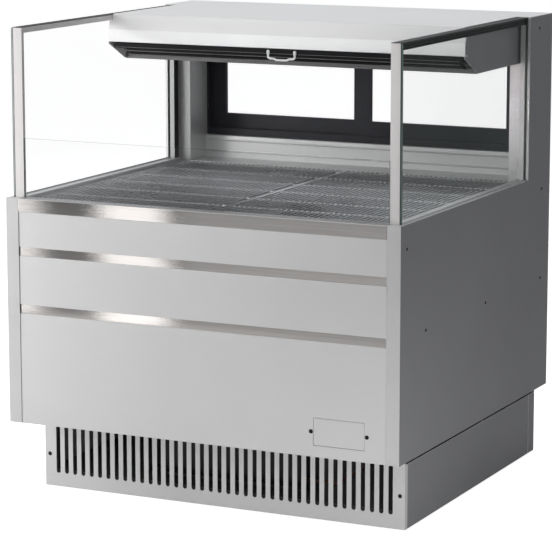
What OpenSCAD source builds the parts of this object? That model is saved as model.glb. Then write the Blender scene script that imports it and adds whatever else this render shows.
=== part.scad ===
// Low-profile open display merchandiser: a refrigerated deck behind a low front guard,
// glass side panels, a canopy with a night curtain, and sliding glass doors at the back.
// Millimetres. The front faces -Y, +X is the right-hand side seen from the front, +Z is up.
// The origin is on the floor, under the centre of the cabinet.
// Inside each module, Y is counted from the front face; from_front() moves it to the origin.

/* [Cabinet] */
// Overall width across the side panels
width = 923; // [903:1:943]
// Overall depth from the front posts to the back panel
depth = 868; // [864:1:880]
// Overall height to the roof and the glass rails
height = 1024; // [1014:1:1034]
// Height of the body's underside above the floor
body_z = 163; // [158:1:168]
// Height of the front nose and of the low side sections
nose_z = 657; // [652:1:662]
// Thickness of the sheet metal
sheet = 1.5; // [1.2:0.1:1.8]
// Width of the hollow side walls
wall = 30; // [28:1:32]

/* [Side glass] */
// Thickness of the side glass
glass_t = 4; // [3:0.5:5]
// Distance from the side's outer face to the glass
glass_inset = 6.5; // [6:0.5:7]
// Width of the front post of a glass frame
post_w = 21.5; // [18:0.5:22]
// Depth of the front post of a glass frame
post_d = 9; // [7:1:12]
// Height of the top rail of a glass frame
rail_h = 14; // [12:1:16]
// Distance of the post from the front face
post_y = 21; // [20:1:23]
// Distance of the clear front guard from the front face
guard_y = 20; // [19:0.5:21]
// Thickness of the clear front guard
guard_t = 5; // [4:1:6]
// Height of the clear front guard above the nose
guard_h = 128; // [100:1:128]

/* [Canopy] */
// Distance of the canopy's fascia from the front face
fascia_y = 405; // [400:1:415]
// Height of the fascia's lower edge
fascia_z = 962; // [958:1:966]
// Height of the vertical band of the fascia
fascia_h = 28; // [24:1:32]
// Depth of the sloped band between fascia and roof
slope_y = 12; // [8:1:20]
// Height of the canopy's underside
canopy_z = 919; // [915:1:922]
// Half width of the canopy
canopy_x = 434; // [433:0.5:435]

/* [Night curtain] */
// Forward travel of the pull bar
curtain_forward = 394; // [300:1:394]
// Downward travel of the pull bar
curtain_down = 145; // [110:1:145]
// Outer radius of the rolled curtain
roll_r = 24; // [20:1:26]
// Width of the pull handle
handle_w = 70; // [60:1:90]

/* [Rear doors] */
// Height of the door frame's sill
sill_z = 705; // [700:1:708]
// Height of the door frame's top
frame_top = 985; // [975:1:990]
// Half width of the door opening
opening_x = 400; // [398:1:401]
// Overlap of the two doors when shut
door_overlap = 19; // [16:1:30]
// Thickness of a sliding door
door_t = 12; // [11:0.5:12]
// Width of a door's stile
stile_w = 34; // [32:1:44]
// Height of a door's bottom rail
door_rail = 40; // [36:1:44]

/* [Base] */
// Half width of the base
base_x = 433; // [430:1:436]
// Distance of the base grille from the front face
base_y = 100; // [90:1:110]
// Number of slots in the base grille
slot_count = 39; // [31:2:39]
// Width of a grille slot
slot_w = 10.2; // [8:0.1:11]
// Distance between grille slots
slot_pitch = 21.06; // [19:0.02:21.2]

/* [Hidden] */
$fn = 48;

side_x = width / 2;
wall_x = side_x - wall;
tower_y = 727;                          // front edge of the tall rear part of the side panels
tower_top = height - sheet;
pillar_x = 406;                         // inner face of the rear towers
pillar_y = 748;                         // front face of the rear towers
glass_x = side_x - glass_inset;         // outer face of the side glass
gasket_t = 1.5;
cap_t = 1;                              // thickness of the seal over the top of a glass frame
frame_z = height - 1.5;                 // top of that seal, a little below the roof
frame_x = glass_x - glass_t - gasket_t; // outer face of the glass frames
front_x = wall_x - 0.5;                 // half width of the front panels
back = depth - sheet;

// Front panel joints, from the top down
nose_lip_z = nose_z - 29;
upper_panel_z = nose_z - 105;
middle_top_z = nose_z - 125;
middle_panel_z = nose_z - 231;
lower_top_z = nose_z - 251;

// Insulated well under the deck
well_floor = 410;
well_out = 375;
well_top = 643;
well_x = 400;
well_y0 = 63;
well_y1 = 796;
rack_z = well_top + sheet;
rack_y0 = 36;
rack_y1 = 745;
wire_r = 1.6;
border_h = 6;
rack_wires = 30;

// Access opening in the lower front panel
access_x = 326;
access_z = 216.5;
access_w = 114;
access_h = 57;

// Screws of each side panel, as [distance from the front, height]
side_screws = [[32, 607], [135, 422], [472, 422], [815, 422], [815, 628], [786, 996]];
screw_r = 4;
face_screw_r = 4.6;                     // heads beside the access cover and on the base

// Base
base_z = 0.8;                           // lower edge of the base sheets, just clear of the floor
slot_z0 = 36;                           // centres of a slot's round ends
slot_z1 = 140;
skirt_z = 140.5;                          // top of the side skirts; the black base frame shows above it

// Canopy
roof_y = fascia_y + slope_y;
nozzle_y0 = fascia_y + 22;              // front and back ends of the discharge grille
nozzle_y1 = fascia_y + 73;
nozzle_x = canopy_x - 26;
nozzle_z0 = 949;
nozzle_z1 = 923.5;
ridges = 4;
lamp_y = 505;

// Night curtain
roller_y = 452;
roller_z = 985;
tube_r = 16;
bar_y0 = 410;
bar_y1 = 424;
bar_z0 = 948;
bar_z1 = 960;
bar_x = 423;
web_y = 421;
grip_y = bar_y0 - 2.6;                  // plane and radius of the pull handle's wire
grip_r = 2.5;

// Doors: the left one runs in the outer track, the right one in the inner track
inner_door_y = 839;
outer_door_y = 853;
door_z0 = 711;
door_z1 = 961;
door_x = opening_x - 2;
door_w = door_x + door_overlap / 2;
glass_lip = 8;
glass_set = 7;                          // depth of the glass behind the door's front face
pull_h = 90;

// Refrigeration
evap_y = 560;
evap_z = 428;
fan_axis_z = 525;
evap_fan_r = 78;
cond_y = 150;
cond_z = 34;
cond_h = 170;
cond_x = 165;
cond_fan_z = 119;
cond_fan_r = 76;
brush_h = 14;
service_x = 330;                        // drain and cord inlet, one above the other
drain_y = 740;
drain_z = 180;
drain_r = 10;
gland_z = 230;
gland_r = 11;

steel = [0.80, 0.80, 0.81];
satin = [0.72, 0.72, 0.73];
side_grey = [0.42, 0.42, 0.43];
black = [0.06, 0.06, 0.07];
clear = [0.80, 0.90, 0.86, 0.35];
foam = [0.93, 0.90, 0.72];
copper = [0.72, 0.42, 0.26];
zinc = [0.62, 0.63, 0.65];

// ---------- helpers ----------
module from_front() translate([0, -depth / 2, 0]) children();
module block(lo, hi) translate(lo) cube(hi - lo);
module both() {
    children();
    mirror([1, 0, 0]) children();
}
module along_x(x0, x1) translate([x0, 0, 0]) rotate([90, 0, 90]) linear_extrude(x1 - x0) children();
module rod_x(x0, x1, y, z, r) translate([x0, y, z]) rotate([0, 90, 0]) cylinder(h = x1 - x0, r = r);
module rod_y(y0, y1, x, z, r) translate([x, y0, z]) rotate([-90, 0, 0]) cylinder(h = y1 - y0, r = r);
module rod_z(z0, z1, x, y, r) translate([x, y, z0]) cylinder(h = z1 - z0, r = r);
module rod(a, b, r) {
    v = b - a;
    translate(a) rotate([0, acos(v[2] / norm(v)), atan2(v[1], v[0])]) cylinder(h = norm(v), r = r);
}
// Bent wire or pipe through a list of points
module wire(points, r) {
    for (i = [0 : len(points) - 2]) rod(points[i], points[i + 1], r);
    for (i = [1 : len(points) - 2]) translate(points[i]) sphere(r);
}
// Fin pack: teeth along X joined by a thin spine, extruded upwards
module fin_pack(x0, x1, y0, y1, z0, z1, fins) {
    pitch = (x1 - x0) / fins;
    spine = 3;
    teeth = [for (i = [0 : fins - 1]) each [
        [x0 + i * pitch, y0 + spine], [x0 + i * pitch, y1],
        [x0 + (i + 0.35) * pitch, y1], [x0 + (i + 0.35) * pitch, y0 + spine]]];
    translate([0, 0, z0]) linear_extrude(z1 - z0)
        polygon(concat([[x0, y0]], teeth, [[x1, y0 + spine], [x1, y0]]));
}
// Axial fan around a shaft along +Y, with the hub's front at the origin
module fan(r, hub_r, blades, h) {
    difference() {
        union() {
            rod_y(0, h, 0, 0, hub_r);
            intersection() {
                rod_y(0, h, 0, 0, r);
                for (i = [0 : blades - 1]) rotate([0, i * 360 / blades, 0]) rotate([0, 0, 32])
                    translate([-h, h * 0.25, 0]) cube([2.6 * h, 2, r + 5]);
            }
        }
        rod_y(-1, h + 1, 0, 0, 3.03);
    }
}

// ---------- side walls ----------
function side_outline(i) = [
    [i, body_z + i], [depth - i, body_z + i], [depth - i, tower_top - i],
    [tower_y + i, tower_top - i], [tower_y + i, nose_z - i], [i, nose_z - i]];
module side_screw_bores(x0, x1, r) {
    for (s = side_screws) rod_x(x0, x1, s[0], s[1], r);
}
module side_panel() difference() {
    along_x(wall_x, side_x) polygon(side_outline(0));
    along_x(wall_x - 1, side_x - sheet) polygon(side_outline(sheet));
    block([wall_x - 1, tower_y - 1, nose_z], [glass_x + 0.5, pillar_y + 2, height]);
    side_screw_bores(side_x - 2 * sheet, side_x + 1, screw_r);
}
module side_panel_left() color(side_grey) from_front() mirror([1, 0, 0]) side_panel();
module side_panel_right() color(side_grey) from_front() side_panel();

module insulation() color(foam) from_front() {
    both() difference() {
        block([wall_x, 17, body_z + sheet], [side_x - sheet, back, nose_z - sheet]);
        for (s = [side_screws[0], side_screws[1], side_screws[2], side_screws[3], side_screws[4]])
            rod_x(side_x - sheet - 12, side_x, s[0], s[1], 2);
    }
    difference() {
        block([-front_x, 34, well_out], [front_x, back, well_top]);
        block([-well_x - sheet, well_y0 - sheet, well_floor],
            [well_x + sheet, well_y1 + sheet, well_top + 1]);
        rod_z(well_out - 1, well_floor + 1, service_x, drain_y, drain_r + 0.3);
    }
    block([-pillar_x + 0.5, 828, well_top + sheet], [pillar_x - 0.5, back, sill_z - sheet]);
}

// Stainless tub with a flange that carries the deck racks and turns up beside them
module well_liner() color(steel) from_front() difference() {
    union() {
        block([-front_x, 34, well_top], [front_x, back, rack_z]);
        both() block([front_x - sheet, 34, well_top], [front_x, pillar_y - 0.5, nose_z]);
        block([-well_x - sheet, well_y0 - sheet, well_floor], [well_x + sheet, well_y1 + sheet, rack_z]);
    }
    block([-well_x, well_y0, well_floor + sheet], [well_x, well_y1, rack_z + 1]);
    rod_z(well_floor - 1, well_floor + 5, service_x, drain_y, drain_r + 0.1);
}

// Air duct pillar beside the doors
module tower() {
    block([pillar_x, pillar_y, nose_z], [glass_x - 0.5, pillar_y + sheet, tower_top]);
    block([pillar_x, pillar_y, rack_z], [wall_x - 0.5, pillar_y + sheet, nose_z]);
    block([pillar_x, pillar_y, rack_z], [pillar_x + sheet, 836, tower_top]);
}
module tower_left() color(steel) from_front() mirror([1, 0, 0]) tower();
module tower_right() color(steel) from_front() tower();

// ---------- front ----------
module nose_trim() color(satin) from_front() along_x(-front_x, front_x) polygon([
    [0, nose_lip_z], [0, nose_z], [33.5, nose_z], [33.5, rack_z], [32, rack_z],
    [32, nose_z - sheet], [sheet, nose_z - sheet], [sheet, nose_lip_z]]);
// Folded pan: a face with a short return along its top and bottom
module front_pan(z0, z1) along_x(-front_x, front_x) polygon([
    [1, z0], [1, z1], [16, z1], [16, z1 - sheet], [1 + sheet, z1 - sheet],
    [1 + sheet, z0 + sheet], [16, z0 + sheet], [16, z0]]);
module upper_front_panel() color(steel) from_front() front_pan(upper_panel_z, nose_lip_z);
module middle_front_panel() color(steel) from_front() front_pan(middle_panel_z, middle_top_z);
module lower_front_panel() color(steel) from_front() difference() {
    front_pan(body_z, lower_top_z);
    block([access_x - access_w / 2 - 1, 0, access_z - access_h / 2 - 1],
        [access_x + access_w / 2 + 1, 5, access_z + access_h / 2 + 1]);
    for (s = [-1, 1]) rod_y(0, 5, access_x + s * 63, access_z, 2.2);
}
// Brushed strips that close the joints between the three panels
module trim_strips() color(satin) from_front() for (z = [middle_top_z, lower_top_z])
    along_x(-front_x, front_x) polygon([
        [3.5, z], [3.5, z + 20], [16, z + 20], [16, z + 20 - sheet], [5, z + 20 - sheet],
        [5, z + sheet], [16, z + sheet], [16, z]]);
module access_cover() color(steel) from_front() difference() {
    union() {
        block([access_x - access_w / 2, 1.5, access_z - access_h / 2],
            [access_x + access_w / 2, 3, access_z + access_h / 2]);
        block([access_x - 70, 3, access_z - access_h / 2], [access_x + 70, 4.5, access_z + access_h / 2]);
    }
    for (s = [-1, 1]) rod_y(1, 6, access_x + s * 63, access_z, 2.05);
}
module thermostat() color([0.85, 0.85, 0.82]) from_front() difference() {
    union() {
        block([access_x - 28, 24, access_z - 22], [access_x + 28, 60, access_z + 22]);
        block([access_x - 60, 60, access_z - 24], [access_x + 60, 62, access_z + 24]);
        block([access_x - 60, 62, access_z - 24], [access_x - 58, 148, access_z + 24]);
    }
    rod_y(23, 36, access_x, access_z, 3.05);
}
module thermostat_knob() color(black) from_front() {
    rod_y(10, 23.5, access_x, access_z, 14);
    rod_y(23.5, 34, access_x, access_z, 3);
    block([access_x - 1, 9, access_z + 2], [access_x + 1, 10, access_z + 13]);
}
module panel_screws() color(black) from_front() {
    both() for (s = side_screws) {
        rod_x(side_x - sheet, side_x - 0.3, s[0], s[1], screw_r);
        rod_x(side_x - sheet - 12, side_x - sheet, s[0], s[1], 2);
    }
    for (s = [-1, 1]) {
        rod_y(0, 1, access_x + s * 63, access_z, face_screw_r);
        rod_y(1, 8, access_x + s * 63, access_z, 2);
    }
    both() {
        rod_y(base_y - 1.2, base_y, 421.5, 73, face_screw_r);
        rod_y(base_y, base_y + 8, 421.5, 73, 2);
    }
}

// ---------- base ----------
module base_frame() color(black) from_front() difference() {
    union() {
        for (z = [14, 140]) difference() {
            block([-428, base_y + 4, z], [428, depth - 4, z + 23]);
            block([-403, base_y + 29, z - 1], [403, depth - 29, z + 24]);
        }
        both() for (y = [base_y + 4, depth - 29]) block([403, y, 37], [428, y + 25, 140]);
    }
    both() {
        for (y = [base_y + 16.5, depth - 16.5]) rod_z(13, 30, 415.5, y, 5.02);
        rod_y(base_y, base_y + 10, 421.5, 73, 2.05);
    }
}
// Front kick panel with a row of vertical slots with round ends
module base_grille() color(steel) from_front() difference() {
    union() {
        block([-base_x, base_y, base_z], [base_x, base_y + sheet, 158]);
        both() block([base_x - sheet, base_y, base_z], [base_x, base_y + 12, skirt_z]);
    }
    for (i = [0 : slot_count - 1]) translate([(i - (slot_count - 1) / 2) * slot_pitch, 0, 0]) {
        block([-slot_w / 2, base_y - 1, slot_z0], [slot_w / 2, base_y + 3, slot_z1]);
        for (z = [slot_z0, slot_z1]) rod_y(base_y - 1, base_y + 3, 0, z, slot_w / 2);
    }
    both() rod_y(base_y - 1, base_y + 3, 421.5, 73, 2.05);
}
module base_skirts() color(steel) from_front() {
    both() block([base_x - sheet, base_y + 12.5, base_z], [base_x, depth - 39, skirt_z]);
    difference() {
        union() {
            block([-base_x, back, base_z], [base_x, depth, 158]);
            both() block([base_x - sheet, depth - 36.5, base_z], [base_x, depth, skirt_z]);
        }
        for (x = [-300 : 40 : 300]) block([x - 4, back - 1, 40], [x + 4, depth + 1, 120]);
    }
}
module floor_pan() color(zinc) from_front() difference() {
    block([-428, base_y + 4, 37], [428, depth - 4, 38.5]);
    both() for (y = [base_y + 3, depth - 29]) block([403, y, 36], [429, y + 26, 40]);
}
module levelling_feet() color(zinc) from_front() both()
    for (y = [base_y + 16.5, depth - 16.5]) {
        rod_z(0, 6, 415.5, y, 11);
        rod_z(6, 28, 415.5, y, 5);
    }

// ---------- rear wall ----------
module rear_panel() color(steel) from_front() difference() {
    block([-wall_x + 0.5, back, body_z], [wall_x - 0.5, depth, sill_z - sheet]);
    for (z = [200 : 18 : 344], x = [-190, 190]) block([x - 140, back - 1, z], [x + 140, depth + 1, z + 7]);
    rod_y(back - 1, depth + 1, service_x, gland_z, gland_r + 0.1);
    rod_y(back - 1, depth + 1, service_x, drain_z, drain_r + 0.1);
}
// Inner wall under the doors: a shelf behind the racks and a riser with two shallow folds
module back_wall() color(steel) from_front() {
    along_x(-pillar_x + 0.5, pillar_x - 0.5) polygon([
        [rack_y1 + 2, 650], [rack_y1 + 2, 650 + sheet], [824.5, 650 + sheet], [824.5, 665], [823, 667],
        [824.5, 669], [824.5, 692], [823, 694], [824.5, 696], [824.5, sill_z], [back, sill_z],
        [back, sill_z - sheet], [826, sill_z - sheet], [826, 650]]);
    block([-pillar_x + 0.5, rack_y1 + 2, rack_z], [pillar_x - 0.5, rack_y1 + 2 + sheet, 650]);
}

// ---------- canopy ----------
module canopy_shell() color(steel) from_front() difference() {
    along_x(-side_x, side_x) polygon([
        [fascia_y, fascia_z], [fascia_y, fascia_z + fascia_h], [roof_y, height], [depth, height],
        [depth, frame_top + 0.5], [back, frame_top + 0.5], [back, height - sheet],
        [roof_y + 1.1, height - sheet], [fascia_y + sheet, fascia_z + fascia_h - 0.3],
        [fascia_y + sheet, fascia_z + sheet], [fascia_y + 13, fascia_z + sheet], [fascia_y + 13, fascia_z]]);
    both() {
        block([canopy_x, fascia_y - 1, fascia_z - 1], [side_x + 1, tower_y + 0.5, height + 1]);
        block([frame_x - post_w - 0.5, fascia_y - 1, height - rail_h - 0.7],
            [side_x + 1, tower_y + 0.5, height + 1]);
        block([wall_x - 0.5, tower_y, frame_top], [side_x + 1, depth + 1, tower_top]);
    }
}
module canopy_ends() color(steel) from_front() both() along_x(canopy_x - 2, canopy_x - 0.5) polygon([
    [fascia_y + 2, fascia_z + 2], [fascia_y + 2, fascia_z + fascia_h - 2],
    [roof_y - 2, height - rail_h - 1], [pillar_y - 3, height - rail_h - 1], [pillar_y - 3, canopy_z],
    [nozzle_y1 + 2, canopy_z], [fascia_y, fascia_z - 5], [fascia_y, fascia_z - 0.5],
    [fascia_y + 15, fascia_z - 0.5], [fascia_y + 15, fascia_z + 2]]);
module canopy_liner() color(steel) from_front() difference() {
    union() {
        block([-canopy_x + 2.5, nozzle_y1 + 6, canopy_z], [canopy_x - 2.5, pillar_y - 3, canopy_z + sheet]);
        block([-pillar_x + 1, pillar_y - 3, canopy_z], [pillar_x - 1, 835, canopy_z + sheet]);
        block([-canopy_x + 2.5, nozzle_y1 + 4, canopy_z - 1],
            [canopy_x - 2.5, nozzle_y1 + 6, canopy_z + 11]);
    }
    block([-391, lamp_y, canopy_z - 1], [391, lamp_y + 30, canopy_z + 5]);
}
// Black discharge grille, a sloping slab whose lower face carries ridges
function nozzle_point(t, lift) = [
    nozzle_y0 + t * (nozzle_y1 - nozzle_y0) + lift * 0.45,
    nozzle_z0 + t * (nozzle_z1 - nozzle_z0) + lift * 0.89];
module air_nozzle() color(black) from_front() along_x(-nozzle_x, nozzle_x) polygon(concat(
    [for (i = [0 : ridges - 1]) each [
        nozzle_point(i / ridges, 0), nozzle_point((i + 0.62) / ridges, 0),
        nozzle_point((i + 0.66) / ridges, 4), nozzle_point((i + 0.96) / ridges, 4)]],
    [nozzle_point(1, 0), nozzle_point(1, 8), nozzle_point(0, 8)]));
module lamp_housing() color([0.9, 0.9, 0.9]) from_front() difference() {
    block([-400, lamp_y - 6, canopy_z + sheet], [400, lamp_y + 36, canopy_z + 18]);
    block([-390, lamp_y + 1, canopy_z], [390, lamp_y + 29, canopy_z + 15]);
}
module lamp_lens() color([1, 1, 0.96]) from_front()
    block([-389.5, lamp_y + 1.5, canopy_z], [389.5, lamp_y + 28.5, canopy_z + 3]);

// ---------- night curtain ----------
module curtain_brackets() color(zinc) from_front() both() {
    along_x(canopy_x - 5, canopy_x - 2.2) polygon([
        [430, 962], [430, 994], [440, 1004], [478, 1004], [478, 962]]);
    rod_x(bar_x + 0.2, canopy_x - 5, roller_y, roller_z, 5);
}
module curtain_roller() color(satin) from_front() difference() {
    union() {
        rod_x(-bar_x - 2, bar_x + 2, roller_y, roller_z, tube_r);
        rod_x(-bar_x + 2, bar_x - 2, roller_y, roller_z, roll_r);
    }
    both() rod_x(bar_x - 8, bar_x + 10, roller_y, roller_z, 5.05);
}
// Stretch of curtain between the roll and the pull bar, when rolled up
module night_curtain() color([0.10, 0.10, 0.11]) from_front() along_x(-bar_x + 2, bar_x - 2) polygon([
    [web_y, bar_z1 + 0.05], [web_y, bar_z1 + 8], [roller_y - roll_r - 1.2, roller_z],
    [roller_y - roll_r - 0.4, roller_z], [web_y + 0.8, bar_z1 + 7.8], [web_y + 0.8, bar_z1 + 0.05]]);
module curtain_bar() color(black) from_front()
    block([-bar_x, bar_y0, bar_z0], [bar_x, bar_y1, bar_z1]);
// Bent wire pull
function grip_point(x, z) = [x * handle_w / 70, grip_y, z];
module curtain_handle() color([0.95, 0.95, 0.95]) from_front()
    wire([grip_point(-32.5, 958), grip_point(-32.5, 943), grip_point(-26, 937.5),
        grip_point(26, 937.5), grip_point(32.5, 943), grip_point(32.5, 958)], grip_r);

// ---------- side glass ----------
module side_frame() {
    block([frame_x - post_w, post_y, nose_z], [frame_x, post_y + post_d, frame_z - cap_t]);
    block([frame_x - post_w, post_y + post_d, height - rail_h], [frame_x, tower_y, frame_z - cap_t]);
}
module side_frame_left() color(steel) from_front() mirror([1, 0, 0]) side_frame();
module side_frame_right() color(steel) from_front() side_frame();
module side_glass()
    block([glass_x - glass_t, post_y, nose_z + 2], [glass_x, pillar_y - 2, frame_z - 2]);
module side_glass_left() color(clear) from_front() mirror([1, 0, 0]) side_glass();
module side_glass_right() color(clear) from_front() side_glass();
// Black seal between frame and glass and over the frame's top, and the strip under the glass
module glass_gaskets() color(black) from_front() both() {
    block([frame_x, post_y, nose_z], [glass_x - glass_t, post_y + post_d, frame_z]);
    block([frame_x, post_y + post_d, height - rail_h - 3], [glass_x - glass_t, tower_y, frame_z]);
    block([frame_x - post_w, post_y, frame_z - cap_t], [frame_x, tower_y, frame_z]);
    block([frame_x + gasket_t, post_y, nose_z], [glass_x, pillar_y - 2, nose_z + 2]);
}
// Channel on the front of each tower that takes the glass's rear edge
module rear_channels() color(steel) from_front() both() {
    block([438, tower_y, nose_z], [439.5, pillar_y, tower_top]);
    block([439.5, tower_y, nose_z], [frame_x, tower_y + sheet, tower_top]);
    block([439.5, pillar_y - sheet, nose_z], [side_x - glass_inset, pillar_y, tower_top]);
}
module front_guard() color(clear) from_front()
    block([-frame_x + post_w + 0.5, guard_y, nose_z],
        [frame_x - post_w - 0.5, guard_y + guard_t, nose_z + guard_h]);

// ---------- rear doors ----------
// Black frame: sill and header with two tracks, and two jambs
module door_frame() color(black) from_front() difference() {
    block([-wall_x + 0.5, 836, sill_z], [wall_x - 0.5, back, frame_top]);
    block([-opening_x, 835, sill_z + 17], [opening_x, depth, frame_top - 35]);
    for (y = [inner_door_y, outer_door_y])
        block([-opening_x, y - 0.5, door_z0 - 0.5], [opening_x, y + door_t + 0.5, door_z1 + 8]);
}
// Door in its own place: x runs from its outer edge at 0 towards its meeting edge
module door_leaf(y) difference() {
    block([0, y, door_z0], [door_w, y + door_t, door_z1]);
    block([stile_w, y - 1, door_z0 + door_rail + 5],
        [door_w - stile_w, y + door_t + 1, door_z1 - door_rail + 4]);
    block([stile_w - glass_lip, y + glass_set, door_z0 + door_rail + 5 - glass_lip],
        [door_w - stile_w + glass_lip, y + door_t - 1, door_z1 - door_rail + 4 + glass_lip]);
    block([8, y + door_t - 5, 790], [22, y + door_t + 1, 790 + pull_h]);
}
module door_pane(y) block([stile_w - glass_lip, y + glass_set, door_z0 + door_rail + 5 - glass_lip],
    [door_w - stile_w + glass_lip, y + door_t - 1, door_z1 - door_rail + 4 + glass_lip]);
module rear_door_left() color(black) from_front() translate([-door_x, 0, 0]) door_leaf(outer_door_y);
module door_glass_left() color(clear) from_front() translate([-door_x, 0, 0]) door_pane(outer_door_y);
module rear_door_right() color(black) from_front()
    mirror([1, 0, 0]) translate([-door_x, 0, 0]) door_leaf(inner_door_y);
module door_glass_right() color(clear) from_front()
    mirror([1, 0, 0]) translate([-door_x, 0, 0]) door_pane(inner_door_y);

// ---------- deck ----------
module deck_rack() {
    x0 = 1.5;
    x1 = front_x - sheet - 1;
    z1 = rack_z + border_h;
    difference() {
        block([x0, rack_y0, rack_z], [x1, rack_y1, z1]);
        block([x0 + border_h, rack_y0 + border_h, rack_z - 1], [x1 - border_h, rack_y1 - border_h, z1 + 1]);
    }
    for (k = [1 : 4]) translate([x0 + border_h - 1, rack_y0 + k * (rack_y1 - rack_y0) / 5, rack_z + 2])
        cube([x1 - x0 - 2 * border_h + 2, 4, border_h - 2.5]);
    for (i = [1 : rack_wires])
        rod_y(rack_y0 + 3, rack_y1 - 3, x0 + i * (x1 - x0) / (rack_wires + 1), z1 + 0.4, wire_r);
}
module deck_rack_left() color(zinc) from_front() mirror([1, 0, 0]) deck_rack();
module deck_rack_right() color(zinc) from_front() deck_rack();

// ---------- refrigeration ----------
module evaporator_coil() color(satin) from_front() {
    fin_pack(-300, 300, evap_y, evap_y + 130, evap_z, evap_z + 150, 75);
    both() block([300, evap_y, well_floor + sheet], [302, evap_y + 130, evap_z + 160]);
}
module evaporator_fan_plate() color(zinc) from_front() difference() {
    block([-well_x + 1, evap_y - 24, well_floor + sheet], [well_x - 1, evap_y - 22, well_top - 4]);
    rod_y(evap_y - 30, evap_y - 20, 0, fan_axis_z, evap_fan_r + 3);
}
module evaporator_fan() color([0.15, 0.15, 0.16]) from_front() translate([0, evap_y - 60, fan_axis_z])
    fan(evap_fan_r, 20, 5, 34);
// Motors of both fans, each with its shaft and its mounting strap
module fan_motors() color(zinc) from_front() {
    translate([0, evap_y - 110, fan_axis_z]) {
        rod_y(0, 44, 0, 0, 30);
        rod_y(44, 82, 0, 0, 3);
        block([-6, 0, -30 - 83], [6, 3, -29]);
        block([-6, -20, -113], [6, 0, -110]);
    }
    translate([0, cond_y + 132, cond_fan_z]) {
        rod_y(0, 46, 0, 0, 30);
        rod_y(-38, 0, 0, 0, 3);
        block([-8, 20, -cond_fan_z + 38.5], [8, 26, -29]);
    }
}
module drain_tube() color([0.9, 0.9, 0.88]) from_front() difference() {
    union() {
        rod_z(drain_z, well_floor + sheet, service_x, drain_y, drain_r);
        translate([service_x, drain_y, drain_z]) sphere(drain_r);
        rod_y(drain_y, depth, service_x, drain_z, drain_r);
    }
    rod_z(drain_z, well_floor + 10, service_x, drain_y, drain_r - 2);
    translate([service_x, drain_y, drain_z]) sphere(drain_r - 2);
    rod_y(drain_y, depth + 1, service_x, drain_z, drain_r - 2);
}
module compressor() color(black) from_front() translate([-220, 640, 38.5]) {
    rotate_extrude($fn = 64) polygon(concat(
        [[0, 20], [66, 20]],
        [for (a = [0 : 10 : 90]) [72 + 6 * sin(a) - 6, 26 - 6 * cos(a)]],
        [[74, 86], [78, 88], [78, 94], [72, 96]],
        [for (a = [0 : 10 : 90]) [72 * cos(a), 130 + 42 * sin(a)]]));
    for (x = [-72, 72], y = [-60, 60]) rod_z(0, 14, x, y, 11);
    block([-92, -78, 14], [92, 78, 20]);
}
module condenser() color(satin) from_front() {
    fin_pack(-cond_x, cond_x, cond_y, cond_y + 50, cond_z + 8, cond_z + cond_h, 60);
    both() block([cond_x, cond_y, 38.5], [cond_x + 2, cond_y + 50, cond_z + cond_h + 6]);
}
module condenser_shroud() color(zinc) from_front() difference() {
    block([-cond_x - 2, cond_y + 50.5, 38.5], [cond_x + 2, cond_y + 110, cond_z + cond_h + 6]);
    block([-cond_x, cond_y + 49, 42], [cond_x, cond_y + 108, cond_z + cond_h + 4]);
    rod_y(cond_y + 100, cond_y + 120, 0, cond_fan_z, cond_fan_r + 3);
}
module condenser_fan() color([0.15, 0.15, 0.16]) from_front() translate([0, cond_y + 94, cond_fan_z])
    fan(cond_fan_r, 20, 5, 34);
module refrigerant_tubes() color(copper) from_front() {
    wire([[-220, 640, 210.8], [-220, 640, 250], [-220, 185, 250], [-220, 185, 160], [-167.3, 185, 160]], 4);
    wire([[167.3, 185, 60], [240, 185, 60], [240, 522, 60]], 4);
    rod_y(520, 620, 240, 60, 14);
    wire([[240, 618, 60], [240, 700, 60], [240, 700, well_out - 0.5]], 3);
    wire([[-144, 640, 108], [-100, 640, 108], [-100, 640, well_out - 0.5]], 6);
}
// Brush that wipes the condenser's fins, on a nut and a guide
module cleaning_brush() color([0.2, 0.3, 0.5]) from_front() difference() {
    union() {
        both() block([cond_x + 4, 130, 52], [cond_x + 24, 145, 52 + brush_h]);
        block([-cond_x - 4, 131, 55], [cond_x + 4, 139, 63]);
        block([-cond_x + 4, 139, 56], [cond_x - 4, 149.5, 62]);
    }
    both() rod_z(50, 70, cond_x + 14, 137, 5.05);
}
module brush_screw() color(zinc) from_front() rod_z(39, 222, -cond_x - 14, 137, 5);
module control_box() color([0.75, 0.75, 0.74]) from_front() {
    difference() {
        block([200, 730, 38.5], [310, 850, 130]);
        block([202, 729, 40.5], [308, 848, 128]);
    }
    block([212, 800, 40.5], [262, 840, 90]);
    rod_z(40.5, 108, 286, 812, 18);
    difference() {
        rod_y(back - 26, depth, service_x, gland_z, gland_r);
        rod_y(back - 30, depth + 1, service_x, gland_z, 6);
    }
}

side_panel_left();
side_panel_right();
insulation();
well_liner();
tower_left();
tower_right();
nose_trim();
upper_front_panel();
middle_front_panel();
lower_front_panel();
trim_strips();
access_cover();
thermostat();
thermostat_knob();
panel_screws();
base_frame();
base_grille();
base_skirts();
floor_pan();
levelling_feet();
rear_panel();
back_wall();
canopy_shell();
canopy_ends();
canopy_liner();
air_nozzle();
lamp_housing();
lamp_lens();
curtain_brackets();
curtain_roller();
night_curtain();
curtain_bar();
curtain_handle();
side_frame_left();
side_frame_right();
side_glass_left();
side_glass_right();
glass_gaskets();
rear_channels();
front_guard();
door_frame();
rear_door_left();
door_glass_left();
rear_door_right();
door_glass_right();
deck_rack_left();
deck_rack_right();
evaporator_coil();
evaporator_fan_plate();
evaporator_fan();
fan_motors();
drain_tube();
compressor();
condenser();
condenser_shroud();
condenser_fan();
refrigerant_tubes();
cleaning_brush();
brush_screw();
control_box();
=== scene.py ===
"""Looks of the open display merchandiser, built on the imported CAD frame. Metres; the front faces -Y."""

import math

import bmesh
import bpy
from mathutils import Matrix, Vector


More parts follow.
